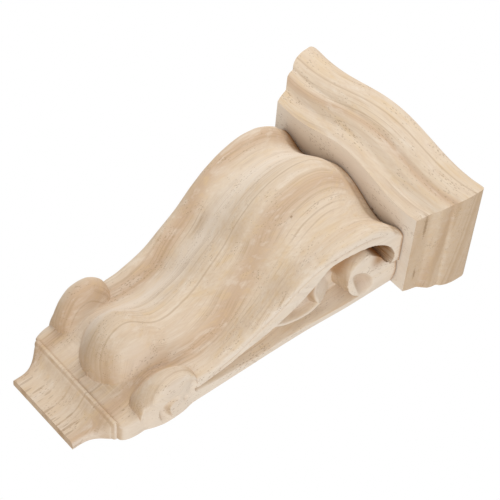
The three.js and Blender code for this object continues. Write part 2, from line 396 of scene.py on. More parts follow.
@dataclass(frozen=True)
class RawWood:
    """Unsealed pale hardwood: growth bands, fibres and short pores, with painted shade in the hollows and
    painted light on faces that turn down or outward.

    A strength is the share by which one colour covers the one below it. Streaks and lines have
    their place in millimetres through the growth layers. The cell sizes are cells per millimetre
    across the grain, through it and along it.
    """

    CLOUD_CELLS: ClassVar[Place] = (0.42, 0.42, 0.05)
    FIBRE_CELLS: ClassVar[Place] = (1.6, 1.6, 0.14)
    SWAY_CELLS: ClassVar[Place] = (0.05, 0.05, 0.012)
    LINE_CELLS: ClassVar[Place] = (0.14, 0.14, 0.03)
    PORE_CELLS: ClassVar[Place] = (1.9, 1.9, 0.6)
    PORE_PATCHES: ClassVar[Place] = (0.25, 0.25, 0.06)
    DASH_CELLS: ClassVar[Place] = (1.0, 1.0, 0.12)
    BAND_SPACING: ClassVar[float] = 7.0
    LINE_SPACING: ClassVar[float] = 1.5
    END_SQUEEZE: ClassVar[float] = 1.7

    name: str
    grain: Grain
    pale: Colour = (0.736, 0.607, 0.466, 1)
    warm: Colour = (0.6, 0.435, 0.3, 1)
    golden: Colour = (0.7, 0.52, 0.31, 1)
    cool: Colour = (0.78, 0.68, 0.57, 1)
    # Pale colour of the grain's pale streaks, also laid as painted light on faces that turn down or
    # outward
    pale_and_painted_light: Colour = (0.86, 0.77, 0.67, 1)
    line: Colour = (0.42, 0.28, 0.165, 1)
    end: Colour = (0.5, 0.35, 0.22, 1)
    pore: Colour = (0.36, 0.245, 0.15, 1)
    # Dark brown laid as painted shade in hollows and grooves, and in the dark line at the joint under the
    # cap
    painted_shade_brown: Colour = (0.34, 0.155, 0.042, 1)
    layers: Place = (1.0, -0.27, 0.0)
    sway: float = 3.5
    streaks: Streaks = ((-15.5, 4.6), (16.8, 5.5))
    pale_streaks: Streaks = ((-5.5, 9.0),)
    dark_line: float = 7.7
    flecks: tuple[Fleck, ...] = ()
    streak_strength: float = 0.95
    band_strength: float = 0.42
    cloud_strength: float = 0.55
    fibre_strength: float = 0.28
    pale_strength: float = 0.52
    line_strength: float = 0.4
    # How strongly the painted light covers faces that turn down or outward
    painted_light_strength: float = 0.5
    end_strength: float = 0.55
    end_band_strength: float = 0.7
    pore_strength: float = 0.55
    dash_strength: float = 0.0
    fleck_strength: float = 0.85
    roughness: float = 0.85
    gloss: float = 0.25
    bump: float = 0.35
    bump_height: float = 0.12 * MM

    def material(self) -> bpy.types.Material:
        """Build the material.

        Returns:
            The new material.
        """
        material = bpy.data.materials.new(self.name)
        n = Nodes(material)
        place = n.add("TexCoord").outputs["Object"]
        wood = n.stretched(place, (1 / MM, 1 / MM, 1 / MM))
        if self.grain is Grain.ACROSS:
            turned = {"X": n.axis(wood, 2), "Y": n.axis(wood, 1), "Z": n.axis(wood, 0)}
            wood = n.add("CombineXYZ", turned).outputs[0]
        layer = self.layer(n, wood)
        fibres = n.step(n.noise(n.stretched(wood, self.FIBRE_CELLS), 4.0), 0.35, 0.7)
        pores = self.pores(n, wood)
        dashes = n.math("MULTIPLY", self.torn_dashes(n, wood), self.dash_strength)
        colour = self.painted_light_and_end_grain(n, layer, self.grown(n, wood, layer, fibres))
        colour = n.tint(colour, self.pore, pores, self.pore_strength)
        colour = n.tint(colour, self.pore, dashes)
        for fleck in self.flecks:
            colour = n.tint(colour, self.pore, self.fleck(n, place, fibres, fleck), self.fleck_strength)
        # Painted shade: the scroll's stored share lays dark brown into its hollows, grooves and the joint
        # under the cap
        colour = n.tint(colour, self.painted_shade_brown, n.marked("darkening_and_painted_shade"))
        height = n.math("SUBTRACT", n.math("MULTIPLY", fibres, 0.4), n.math("ADD", pores, dashes))
        relief = {"Height": height, "Strength": self.bump, "Distance": self.bump_height}
        shader = n.add("BsdfPrincipled", {
            "Base Color": colour, "Roughness": self.roughness, "Specular IOR Level": self.gloss,
            "Normal": n.add("Bump", relief).outputs[0],
        })
        n.add("OutputMaterial", {"Surface": shader.outputs[0]})
        return material

    def grown(self, n: Nodes, wood: Socket, layer: Socket, fibres: Socket) -> Socket:
        """Colour the wood as it grew: bands, clouds, fibres, pale streaks and fine lines.

        Args:
            n: The material's nodes.
            wood: Millimetres with the grain along Z.
            layer: The distance through the layers.
            fibres: The share of the fibres at each place.

        Returns:
            The colour.
        """
        colour = n.tint(self.pale, self.warm, self.bands(n, layer), self.streak_strength)
        cloud = n.noise(n.stretched(wood, self.CLOUD_CELLS), 3.0, 0.6)
        colour = n.tint(colour, self.golden, n.step(cloud, 0.5, 0.72), self.cloud_strength)
        colour = n.tint(colour, self.cool, n.step(cloud, 0.5, 0.3), self.cloud_strength)
        colour = n.tint(colour, self.warm, fibres, self.fibre_strength)
        if self.pale_streaks:
            above_foot = n.step(n.axis(wood, 2), -60.0, -46.0)
            streak = n.math("MULTIPLY", self.beside(n, layer, self.pale_streaks), above_foot)
            colour = n.tint(colour, self.pale_and_painted_light, streak, self.pale_strength)
        return n.tint(colour, self.line, self.lines(n, wood, layer), self.line_strength)

    def painted_light_and_end_grain(self, n: Nodes, layer: Socket, colour: Socket) -> Socket:
        """Lay painted light, a paler colour on faces that turn down or outward, and the darker end grain
        over the colour.

        Args:
            n: The material's nodes.
            layer: The distance through the layers.
            colour: The wood's colour so far.

        Returns:
            The new colour.
        """
        # Painted light: a paler colour on faces that turn down (cap) or outward (scroll)
        colour = n.tint(colour, self.pale_and_painted_light, n.marked("pale_and_painted_light"), self.painted_light_strength)
        closer = self.bands(n, n.math("MULTIPLY", layer, self.END_SQUEEZE))
        strength = n.math("ADD", self.end_strength, n.math("MULTIPLY", closer, self.end_band_strength))
        return n.tint(colour, self.end, n.marked("end_grain"), strength)

    def layer(self, n: Nodes, wood: Socket) -> Socket:
        """Find how far each place lies through the growth layers, in millimetres.

        Args:
            n: The material's nodes.
            wood: Millimetres with the grain along Z.

        Returns:
            The distance square to the gently waving layers.
        """
        sway = n.noise(n.stretched(wood, self.SWAY_CELLS), 2.0)
        through = n.math("MULTIPLY", n.math("SUBTRACT", sway, 0.5), self.sway)
        for index, share in enumerate(self.layers):
            through = n.math("ADD", through, n.math("MULTIPLY", n.axis(wood, index), share))
        return through

    def bands(self, n: Nodes, layer: Socket) -> Socket:
        """Draw the broad warm streaks of the growth layers.

        Args:
            n: The material's nodes.
            layer: The distance through the layers.

        Returns:
            The share of the warmer colour.
        """
        ring = n.noise_along(layer, self.BAND_SPACING, 3.0, 0.6)
        share = n.math("MULTIPLY", n.step(ring, 0.45, 0.8), self.band_strength)
        return n.math("MAXIMUM", share, self.beside(n, layer, self.streaks))

    def beside(self, n: Nodes, layer: Socket, streaks: Streaks) -> Socket:
        """Find how near each place is to one of the broad streaks.

        Args:
            n: The material's nodes.
            layer: The distance through the layers.
            streaks: The middle and the half width of each streak.

        Returns:
            1 in the middle of a streak and 0 outside it.
        """
        share = 0.0
        for middle, reach in streaks:
            away = n.math("ABSOLUTE", n.math("SUBTRACT", layer, middle))
            share = n.math("MAXIMUM", share, n.math("SUBTRACT", 1.0, n.step(away, 0.0, reach)))
        return share

    def lines(self, n: Nodes, wood: Socket, layer: Socket) -> Socket:
        """Draw the fine dark lines between growth layers, strong here and faint there.

        Args:
            n: The material's nodes.
            wood: Millimetres with the grain along Z.
            layer: The distance through the layers.

        Returns:
            1 on a strong line and 0 beside it.
        """
        ring = n.noise_along(layer, self.LINE_SPACING, 2.0)
        away = n.math("ABSOLUTE", n.math("SUBTRACT", ring, 0.5))
        thin = n.math("SUBTRACT", 1.0, n.step(away, 0.0, 0.05))
        weight = n.noise(n.stretched(wood, self.LINE_CELLS), 2.0)
        thin = n.math("MULTIPLY", thin, n.step(weight, 0.38, 0.68))
        strong = n.math("ABSOLUTE", n.math("SUBTRACT", layer, self.dark_line))
        return n.math("MAXIMUM", thin, n.math("SUBTRACT", 1.0, n.step(strong, 0.1, 0.45)))

    def pores(self, n: Nodes, wood: Socket) -> Socket:
        """Draw the open pores, short dashes along the grain.

        Args:
            n: The material's nodes.
            wood: Millimetres with the grain along Z.

        Returns:
            1 in a pore and 0 beside it.
        """
        cell = n.add("TexVoronoi", {"Vector": n.stretched(wood, self.PORE_CELLS), "Scale": 1.0})
        patch = n.noise(n.stretched(wood, self.PORE_PATCHES), 2.0)
        reach = n.math("MULTIPLY", n.step(patch, 0.35, 0.7), 0.3)
        inside = n.math("SUBTRACT", n.math("ADD", reach, 0.05), cell.outputs["Distance"])
        return n.step(inside, 0.0, 0.12)

    def torn_dashes(self, n: Nodes, wood: Socket) -> Socket:
        """Draw the long torn pores near the end of the foot.

        Args:
            n: The material's nodes.
            wood: Millimetres with the grain along Z.

        Returns:
            1 in a dash and 0 beside it.
        """
        cell = n.add("TexVoronoi", {"Vector": n.stretched(wood, self.DASH_CELLS), "Scale": 1.0})
        drawn = n.add("SeparateColor", {"Color": cell.outputs["Color"]}).outputs[0]
        inside = n.math("SUBTRACT", n.math("MULTIPLY", drawn, 0.5), cell.outputs["Distance"])
        at_end = n.math("SUBTRACT", 1.0, n.step(n.axis(wood, 2), -71.0, -63.0))
        return n.math("MULTIPLY", n.step(inside, 0.0, 0.07), at_end)

    def fleck(self, n: Nodes, place: Socket, fibres: Socket, fleck: Fleck) -> Socket:
        """Draw one knot or tear mark with a ragged edge.

        Args:
            n: The material's nodes.
            place: Object coordinates in metres.
            fibres: The share of the fibres at each place, which frays the edge.
            fleck: The mark's middle and its half size on each axis, in millimetres.

        Returns:
            1 inside the mark and 0 beside it.
        """
        scale = tuple(1 / MM / size for size in fleck[1])
        shift = tuple(-middle / size for middle, size in zip(*fleck))
        near = n.add("Mapping", {"Vector": place, "Scale": scale, "Location": shift}).outputs[0]
        away = n.add("VectorMath", {0: near}, operation="LENGTH").outputs["Value"]
        frayed = n.math("ADD", away, n.math("MULTIPLY", fibres, 0.5))
        return n.math("SUBTRACT", 1.0, n.step(frayed, 0.5, 1.2))


# The carved scroll


@dataclass
class Scroll:
    """The carved block under the cap: fluted front, recessed sides, roll and foot.

    Each share of dark brown below is given where it is strongest: painted shade in the hollows and
    grooves, painted shadow beside the dark glue line at the joint, and a plain darkening towards the
    foot's end.
    """

    height: float = 124.7
    depth: float = 44.4
    half_width: float = 30.2
    neck_depth: float = 11.6
    top_depth: float = 26.8
    edge_radius: float = 2.2
    swell_height: float = 6.4
    swell_reach: float = 0.64
    cove_depth: float = 3.2
    bulb_depth: float = 24.2
    bulb_reach: float = 0.52
    bulb_rise: float = 15.0
    bulb_drop: float = 12.8
    lobe_depth: float = 20.2
    lobe_radius: float = 11.8
    lobe_inset: float = 4.0
    lobe_width: float = 7.0
    lobe_round: float = 4.5
    saddle_rise: float = 2.2
    foot_half_width: float = 15.6
    foot_depth: float = 3.4
    foot_flare: float = 4.9
    bead_radius: float = 0.95
    floor_level: float = 21.2
    hole_depth: float = 4.6
    leaf_level: float = 24.9
    scoop_depth: float = 2.6
    quirk_depth: float = 0.4
    eye_hollow: float = 2.0
    curl_depth: float = 1.7
    dish_depth: float = 0.8
    # Shares of painted brown shade: the recess floor, the coil's flank under the rim (painted shadow),
    # the eye, the leaf's scoop, the quirk line and the bead's creases
    floor_painted_shade: float = 0.4
    flank_painted_shadow: float = 0.75
    eye_painted_shade: float = 0.42
    scoop_painted_shade: float = 0.3
    quirk_painted_shade: float = 0.22
    # The joint's dark glue line, widened on the left into painted shadow
    joint_line_and_shadow: float = 0.8
    bead_crease_shade: float = 0.2
    # A slight darkening towards the foot's end
    foot_darkening: float = 0.08
    front_columns: int = 210
    side_columns: int = 140
    kept_share: float = 0.5
    crease_degrees: float = 40.0

    def __post_init__(self) -> None:
        """Work out the stations that the shape hangs on."""
        self.crown_rise = Trace([
            (0.0, 0.0), (0.376, 0.0), (0.425, 0.05), (0.478, 0.14), (0.534, 0.31), (0.594, 0.49),
            (0.651, 0.715), (0.708, 0.88), (0.767, 0.97), (0.827, 1.0), (0.883, 0.965), (0.916, 0.9),
            (0.947, 0.81), (0.973, 0.71), (1.0, 0.0),
        ])
        self.back_share = Trace([
            (0.177, 0.79), (0.207, 0.835), (0.243, 0.862), (0.285, 0.858), (0.33, 0.832), (0.366, 0.835),
            (0.504, 0.845), (0.693, 0.858), (0.861, 0.894), (1.0, 0.912),
        ])
        self.rail_edge = Trace([
            (40.0, 4.9), (42.2, 4.7), (65.1, 2.3), (90.1, 4.2), (104.0, 4.4), (125.0, 4.4),
        ])
        self.bead_level = 0.104 * self.height
        self.bead_top = self.bead_level + self.bead_radius
        self.apron_top = 0.157 * self.height
        self.roll_level = 0.243 * self.height

    # Widths, as seen from the front

    def foot_offset(self, z: Array) -> Array:
        """Shape the foot moulding.

        Args:
            z: The heights to look up.

        Returns:
            How far it stands out at each height.
        """
        t = ease(0.02, 1.0, z / (self.bead_level - self.bead_radius))
        cove = 1 - np.sqrt(1 - t**2.4 * 0.99)
        bead = np.sqrt(np.maximum(0.0, self.bead_radius**2 - (z - self.bead_level) ** 2))
        return self.foot_flare * cove + bead

    def side_proud(self, depth: Array, z: Array) -> Array:
        """Let the volute's rim stand prouder than the back rail.

        Args:
            depth: Distances from the wall.
            z: Their heights.

        Returns:
            How far it stands out.
        """
        reach = np.clip(depth / (0.38 * self.depth), 0.0, 1.0)
        rise = 0.088 * self.half_width * ease(0.45, 0.85, z / self.height)
        return rise * np.sqrt(1 - (1 - reach) ** 2)

    def wide_at(self, depth: Array, z: Array) -> Array:
        """Find half the width of the block before its sides are carved.

        Args:
            depth: Distances from the wall.
            z: Their heights.

        Returns:
            Half the width at each place.
        """
        foot = self.foot_half_width + self.foot_offset(np.minimum(z, self.bead_top))
        shaft = self.back_share(z / self.height) * self.half_width + self.side_proud(depth, z)
        start = self.bead_level + 0.3 * self.bead_radius
        apron = np.clip((z - start) / (self.apron_top - self.bead_level), 0.0, 1.0)
        neck = self.foot_half_width + self.foot_flare
        above = neck + (shaft - neck) * (1 - (1 - apron) ** 2) ** 0.4
        return np.where(z > start, np.maximum(foot, above), foot)

    # Depths, as seen from the side

    def crown_depth(self, z: Array) -> Array:
        """Draw the side profile along the crown of the edge rolls.

        Args:
            z: The heights to look up.

        Returns:
            The crown's depth at each height.
        """
        share = z / self.height
        shoulder = self.depth - self.swell_height
        rise = self.neck_depth + (shoulder - self.neck_depth) * self.crown_rise(np.minimum(share, 0.973))
        turn = np.clip((share - 0.95) / 0.05, 0.0, 1.0)
        return rise + (self.top_depth - rise) * turn * turn

    def base_depth(self, z: Array) -> Array:
        """Draw the side profile with the foot, but without the flutes and the roll.

        Args:
            z: The heights to look up.

        Returns:
            The front's depth at each height.
        """
        foot = self.foot_depth + self.foot_offset(np.minimum(z, self.bead_top)) * 0.9
        above = foot + (self.crown_depth(z) - foot) * ease(self.bead_top, 0.3 * self.height, z)
        return np.where(z > self.bead_top, above, foot)

    def flute(self, side: Array, z: Array) -> Array:
        """Shape the middle swell with its bulb and the coves beside it.

        Args:
            side: Places across, as shares of half the width.
            z: Their heights.

        Returns:
            How far the surface stands proud of the side profile.
        """
        share = z / self.height
        up = np.clip((z - self.roll_level) / self.bulb_rise, 0.0, 1.0)
        down = np.clip((self.roll_level - z) / self.bulb_drop, 0.0, 1.0)
        level = self.neck_depth + self.swell_height
        bulb = level + (self.bulb_depth - level) * wave(up)
        apron = self.base_depth(self.roll_level - self.bulb_drop)
        bulb = np.where(down > 0, apron + (self.bulb_depth - apron) * np.sqrt(1 - down**2), bulb)
        swell = self.swell_height * (1 - 0.2 * ease(0.85, 1.0, share))
        swell = np.where(up < 1, np.maximum(0.0, bulb - self.base_depth(z)), swell)
        reach = self.swell_reach + (self.bulb_reach - self.swell_reach) * wave(up)
        across = np.minimum(1.0, side / reach / np.sqrt(np.maximum(1e-4, 1 - down**2)))
        round_top = (1 - across**2) ** (0.55 + 0.45 * across)
        profile = wave(across) ** 0.85
        profile = profile + (round_top - profile) * wave(up)
        cove = self.cove_depth * (0.3 + 0.7 * ease(0.28, 0.5, share)) * ease(0.2, 0.3, share)
        middle = (swell + cove) * profile - cove
        return np.where(side < self.swell_reach, middle, -cove * wave((side - self.swell_reach) / 0.29))

    def lobes(self, x: Array, wide: Array, z: Array) -> Array:
        """Shape the rounded lobes at both ends of the roll.

        Args:
            x: Places across.
            wide: Half the width at each of them.
            z: Their heights.

        Returns:
            How far the lobes stand proud of the side profile.
        """
        reach = np.where(z > self.roll_level, self.lobe_radius, self.lobe_radius * 0.85)
        along = np.minimum(1.0, np.abs(z - self.roll_level) / reach)
        inner = np.clip((wide - self.lobe_inset - np.abs(x)) / self.lobe_width, 0.0, 1.0)
        room = np.maximum(0.0, 1 - along**2 - inner**2)
        lobe = (self.lobe_depth - self.neck_depth) * room ** (0.56 + 0.75 * inner)
        saddle = self.saddle_rise * wave(along)
        return np.sqrt(lobe**2 + saddle**2)

    def front_at(self, x: Array, z: Array) -> Array:
        """Put the front together and round its edges off.

        Args:
            x: Places across.
            z: Their heights.

        Returns:
            The front's depth at each place.
        """
        wide = self.wide_at(np.full_like(z, self.depth), z)
        side = np.minimum(1.0, np.abs(x) / wide)
        flute, lobes = self.flute(side, z), self.lobes(x, wide, z)
        carved = np.where(flute > 0, np.hypot(flute, lobes), flute + lobes)
        depth = self.base_depth(z) + np.where(z > self.bead_top, carved, 0.0)
        round_off = 0.5 * self.foot_depth + 0.4 * np.maximum(0.0, z - self.bead_top)
        swollen = np.exp(-(((z - self.roll_level) / 9.0) ** 2))
        fullest = self.edge_radius + (self.lobe_round - self.edge_radius) * swollen
        round_off = np.minimum(fullest, round_off)
        over = np.maximum(0.0, np.abs(x) - (wide - round_off))
        return depth - round_off + np.sqrt(np.maximum(0.0, round_off**2 - over**2))

    # Carving on a side face, drawn as depth from the wall and height

    RIM: ClassVar[Points] = (
        (6.6, 41.2), (8.0, 52.3), (10.3, 61.1), (13.6, 71.2), (19.5, 81.2), (26.4, 89.0), (30.6, 92.8),
        (31.9, 97.0), (31.9, 103.0), (30.9, 109.0), (28.2, 114.4), (24.2, 118.9), (20.0, 121.3),
        (16.6, 121.9), (14.3, 121.0),
    )
    RECESS_BACK: ClassVar[Points] = ((9.0, 116.0), (-1.0, 108.0), (-1.0, 41.2))
    # The back edge of the outline inside which shade is painted on the recess
    PAINTED_SHADE_BACK: ClassVar[Points] = ((9.0, 116.0), (0.3, 108.0), (0.3, 41.2))
    COIL: ClassVar[Points] = (
        (14.0, 120.4), (17.8, 117.7), (20.5, 115.0), (22.4, 112.0), (22.2, 109.5), (21.0, 107.4),
        (19.4, 105.8), (17.2, 104.3), (14.9, 103.4), (11.6, 103.5), (8.5, 105.1), (6.0, 107.7),
        (3.5, 111.0), (0.5, 115.0), (-5.0, 122.0), (8.0, 129.0), (14.2, 123.0),
    )
    RIDGE: ClassVar[Points] = (
        (30.8, 93.4), (25.5, 93.2), (22.0, 92.4), (19.0, 91.9), (16.0, 91.8), (12.4, 92.9), (8.4, 94.7),
    )
    LEAF_EDGE: ClassVar[Points] = (
        (8.4, 94.7), (6.9, 91.0), (6.8, 87.0), (7.7, 83.1), (9.3, 78.6), (11.6, 74.6),
    )
    LEAF_FOOT: ClassVar[Points] = ((14.6, 71.2), (20.5, 81.2), (27.4, 89.0))
    CURL: ClassVar[Points] = (
        (-1.5, 30.6), (1.2, 29.6), (4.2, 28.7), (7.6, 28.7), (9.7, 31.2), (9.4, 34.8), (6.6, 37.2),
    )
    EYE_MIDDLE: ClassVar[tuple[float, float]] = (11.1, 110.0)
    EYE_LEAN: ClassVar[tuple[float, float]] = (0.86, 0.507)
    EYE_HALF_LENGTH: ClassVar[float] = 7.2
    DISH_MIDDLE: ClassVar[tuple[float, float]] = (11.0, 29.8)
    DISH_RADIUS: ClassVar[float] = 10.2

    def eye(self, depth: Array, z: Array) -> Array:
        """Hollow the comma-shaped eye of the coil.

        Args:
            depth: Distances from the wall.
            z: Their heights.

        Returns:
            The share of the eye's full depth, from 0 to 1.
        """
        out, up = depth - self.EYE_MIDDLE[0], z - self.EYE_MIDDLE[1]
        level, rise = self.EYE_LEAN
        along = -level * out + rise * up
        beside = rise * out + level * up + 0.02 * (along + 1.0) ** 2
        room = 1 - (along / self.EYE_HALF_LENGTH) ** 2 - (beside / (3.5 + 0.16 * along)) ** 2
        return np.maximum(0.0, room) ** 1.25

    def quirk(self, depth: Array, z: Array, inset: float, width: float) -> Array:
        """Follow the fine line along the rim.

        Args:
            depth: Distances from the wall.
            z: Their heights.
            inset: How far behind the front the line runs.
            width: How wide it is.

        Returns:
            1 on the line and 0 beside it.
        """
        near = np.exp(-(((self.base_depth(z) - depth - inset) / width) ** 2))
        return near * ease(44.0, 54.0, z) * ease(-119.0, -112.0, -z)

    def leaf(self, floor: Array, depth: Array, z: Array) -> Array:
        """Carve the hollowed leaf and the facet that slopes down above it.

        Args:
            floor: How far the recess floor is from the middle plane.
            depth: Distances from the wall.
            z: Their heights.

        Returns:
            How far the leaf and the facet are from the middle plane.
        """
        ridge = curved(self.RIDGE, closed=False)
        lip = np.vstack([ridge, curved(self.LEAF_EDGE, closed=False)[1:]])
        outline = np.vstack([lip, self.LEAF_FOOT])
        top = self.leaf_level - self.scoop_depth * ease(0.5, 2.6, gap_to(lip, depth, z, closed=False))
        on_leaf = ease(-1.0, -0.1, gap_to(outline, depth, z, closed=True))
        fall = self.leaf_level - self.floor_level + 0.4
        past = gap_to(ridge, depth, z, closed=False)
        slope = self.leaf_level - fall * np.clip(past / 7.5, 0.0, 1.0)
        behind = z > np.interp(depth, ridge[::-1, 0], ridge[::-1, 1])
        return np.maximum(floor + (top - floor) * on_leaf, np.where(behind, slope, floor))

    def low_relief(self, face: Array, depth: Array, z: Array) -> Array:
        """Cut the lower volute's dish and curl and the fine line along the rim.

        Args:
            face: How far from the middle plane the side face is.
            depth: Distances from the wall.
            z: Their heights.

        Returns:
            How far from the middle plane it is after the cuts.
        """
        out = np.hypot(depth - self.DISH_MIDDLE[0], z - self.DISH_MIDDLE[1]) / self.DISH_RADIUS
        dish = self.dish_depth * np.minimum(1.0, out) ** 3 * (1 - ease(1.0, 1.35, out))
        face = face - dish * ease(3.0, 8.0, depth)
        face = face - self.quirk_depth * self.quirk(depth, z, inset=3.5, width=0.6)
        open_end = 1 - ease(28.8, 36.0, z) * ease(3.0, 7.5, depth)
        curl = gap_to(curved(self.CURL, closed=False), depth, z, closed=False)
        groove = np.maximum(0.0, 1 - (curl / (1.1 + 0.9 * open_end)) ** 2) * (0.15 + 0.85 * open_end)
        return face - self.curl_depth * groove * ease(-0.5, 3.6, depth)

    def side_at(self, depth: Array, z: Array) -> Array:
        """Carve a side face.

        Args:
            depth: Distances from the wall.
            z: Their heights.

        Returns:
            How far from the middle plane the carved face is.
        """
        face = self.wide_at(depth, z)
        recess = np.vstack([curved(self.RIM, closed=False), self.RECESS_BACK])
        within = gap_to(recess, depth, z, closed=True)
        hole = ease(107.0, 117.0, z) * ease(11.0, 17.0, depth)
        floor = self.floor_level - self.hole_depth * hole
        cut = ease(0.0, 0.7, within) * ease(0.0, 2.6, depth - self.rail_edge(z))
        ground = face + (floor - face) * cut

        coil_gap = gap_to(curved(self.COIL, closed=True), depth, z, closed=True)
        coil_top = face - 1.9 * ease(6.0, 19.0, depth)
        flank = 0.9 + 3.8 * ease(14.0, 20.0, depth) * ease(-115.0, -111.5, -z)
        coil = coil_top - (coil_top - floor) * ease(0.0, 1.0, -coil_gap / flank)
        coil = coil - self.eye_hollow * self.eye(depth, z)

        raised = np.maximum(self.leaf(floor, depth, z), coil)
        inside = np.maximum(ground, np.where(within > 0, raised, 0.0))
        carved = np.where(coil_gap > 0, coil, np.minimum(face, inside))
        return self.low_relief(carved, depth, z)

    # Building

    def levels(self) -> Array:
        """Space the rows, closest where the carving is fine.

        Returns:
            The height of each row.
        """
        stations = [(0.0, 0.34), (self.bead_top, 0.3), (48.0, 0.42), (84.0, 0.3), (self.height, 0.3)]
        rows = [np.arange(a, b, pitch) for (a, pitch), (b, _) in zip(stations, stations[1:])]
        return np.concatenate([*rows, [self.height]])

    def build(self, finish: RawWood) -> Piece:
        """Carve the scroll.

        Args:
            finish: The wood it is carved from.

        Returns:
            The finished piece.
        """
        z = self.levels()[:, None]
        edge_wide = self.wide_at(np.full_like(z, self.depth), z)
        edge = self.front_at(edge_wide, z)
        wide = self.wide_at(edge, z)
        t = np.linspace(-1.0, 1.0, self.front_columns + 1)[None, :]
        x = wide * t * (1.35 - 0.35 * t * t)
        zz = np.broadcast_to(z, x.shape)
        front = place_rows(x, self.front_at(x, zz), zz)
        inward = 1 - np.arange(1, self.side_columns + 1)[None, :] / self.side_columns
        depth = edge * inward
        side = self.side_at(depth, np.broadcast_to(z, depth.shape))
        ends = np.array([0.0, self.height])
        poles = list(zip(0.4 * self.front_at(np.zeros(2), ends), ends))
        piece = wrapped_sheet("carved_scroll", closed_rows(front, side, depth, z, poles))
        thin_out(piece, self.kept_share)
        bpy.ops.object.shade_smooth_by_angle(angle=math.radians(self.crease_degrees))
        # Store the painted shade and the darkening as a share on each point
        self.darkening_and_painted_shade(piece)
        mark_faces(piece, finish.grain)
        piece.data.materials.append(finish.material())
        return piece

    def darkening_and_painted_shade(self, piece: Piece) -> None:
        """Paint dark brown by place: shade in the recesses, the hole, the coil's eye and the fine
        grooves, a dark line with painted shadow at the joint under the cap, and a slight darkening
        towards the foot's end.

        Args:
            piece: The carved scroll.
        """
        spots = np.empty(len(piece.data.vertices) * 3)
        piece.data.vertices.foreach_get("co", spots)
        x, y, z = (spots.reshape(-1, 3) / MM).T
        depth, z = -y, z + TOTAL_HEIGHT / 2
        off_wall = depth > 0.5
        below = self.wide_at(depth, z) - np.abs(x)
        outline = np.vstack([curved(self.RIM, closed=False), self.PAINTED_SHADE_BACK])
        recessed = ease(-0.3, 0.3, gap_to(outline, depth, z, closed=True)) * (np.abs(x) > 14.0)
        covered = recessed * ease(0.8, 2.0, self.front_at(x, z) - depth)
        floor = (1 - 0.9 * ease(46.0, 60.0, z) - 0.1 * ease(84.0, 96.0, z)) * ease(0.4, 3.6, below)
        flank = ease(95.0, 103.0, z) * ease(13.5, 19.0, depth) * ease(2.5, 6.0, below)
        hole = ease(112.0, 117.0, z) * ease(12.0, 17.0, depth) * ease(0.4, 2.4, below)
        scoop = ease(80.0, 84.0, z) * ease(-93.5, -90.5, -z)
        scoop = scoop * ease(7.5, 10.0, depth) * ease(2.6, 3.8, below)
        # The joint's dark glue line under the cap, wider on the left where it is painted shadow
        joint = ease(-1.0 - 2.4 * ease(8.0, 22.0, -x), -0.1, z - self.height)
        bead = 1 - ease(0.1, 0.6, np.abs(np.abs(z - self.bead_level) - self.bead_radius))
        # Painted shade in the recess floor, the coil's flank, the hole, the scoop, the eye, the quirk
        # line and the bead's creases
        share = np.maximum.reduce([
            self.floor_painted_shade * floor * covered,
            self.flank_painted_shadow * flank * covered,
            hole * covered,
            self.scoop_painted_shade * scoop * covered,
            self.eye_painted_shade * self.eye(depth, z) ** 0.7 * recessed,
            self.quirk_painted_shade * self.quirk(depth, z, inset=3.4, width=0.45) * (below < 1.0),
            self.joint_line_and_shadow * joint * off_wall,
            self.bead_crease_shade * bead * off_wall,
            # A slight darkening towards the foot's end
            self.foot_darkening * ease(-46.0, -30.0, -z),
        ])
        layer = piece.data.attributes.new("darkening_and_painted_shade", "FLOAT", "POINT")
        layer.data.foreach_set("value", np.clip(share, 0.0, 1.0))


# The moulded cap


